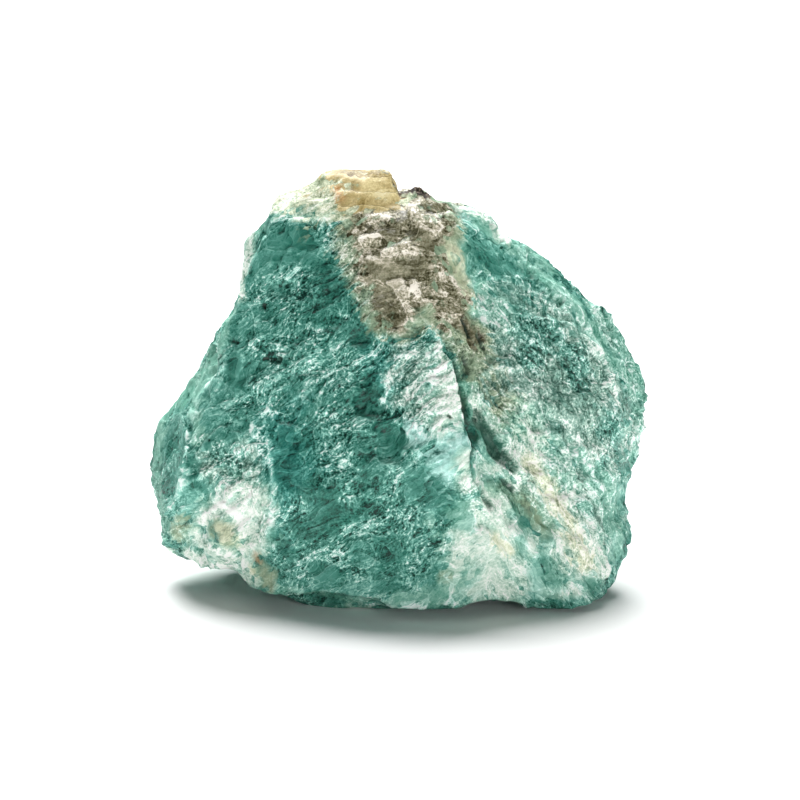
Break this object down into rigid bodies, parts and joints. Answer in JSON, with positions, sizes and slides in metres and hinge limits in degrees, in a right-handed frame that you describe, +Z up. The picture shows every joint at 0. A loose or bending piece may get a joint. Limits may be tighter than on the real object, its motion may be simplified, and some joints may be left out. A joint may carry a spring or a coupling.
{
  "type": "rough mineral specimen",
  "caption": "Hand-sized piece of rough blue-green amazonite with smoky quartz and cream albite, broken on every side, with a flat spot to rest on.",
  "frame": {"origin": "a point of the flat spot underneath, under the middle of the stone", "axes": "+Z up from the surface it rests on, +X to the right along the longest extent as seen from the front, +Y towards the back, so the broad teal face looks along -Y"},
  "size_m": [0.0613, 0.0393, 0.0511],
  "materials": {
    "amazonite": "broken crystalline rock, satin with glassy glints"
  },
  "bodies": {
    "root": {"amazonite": "amazonite"}
  },
  "joints": []
}
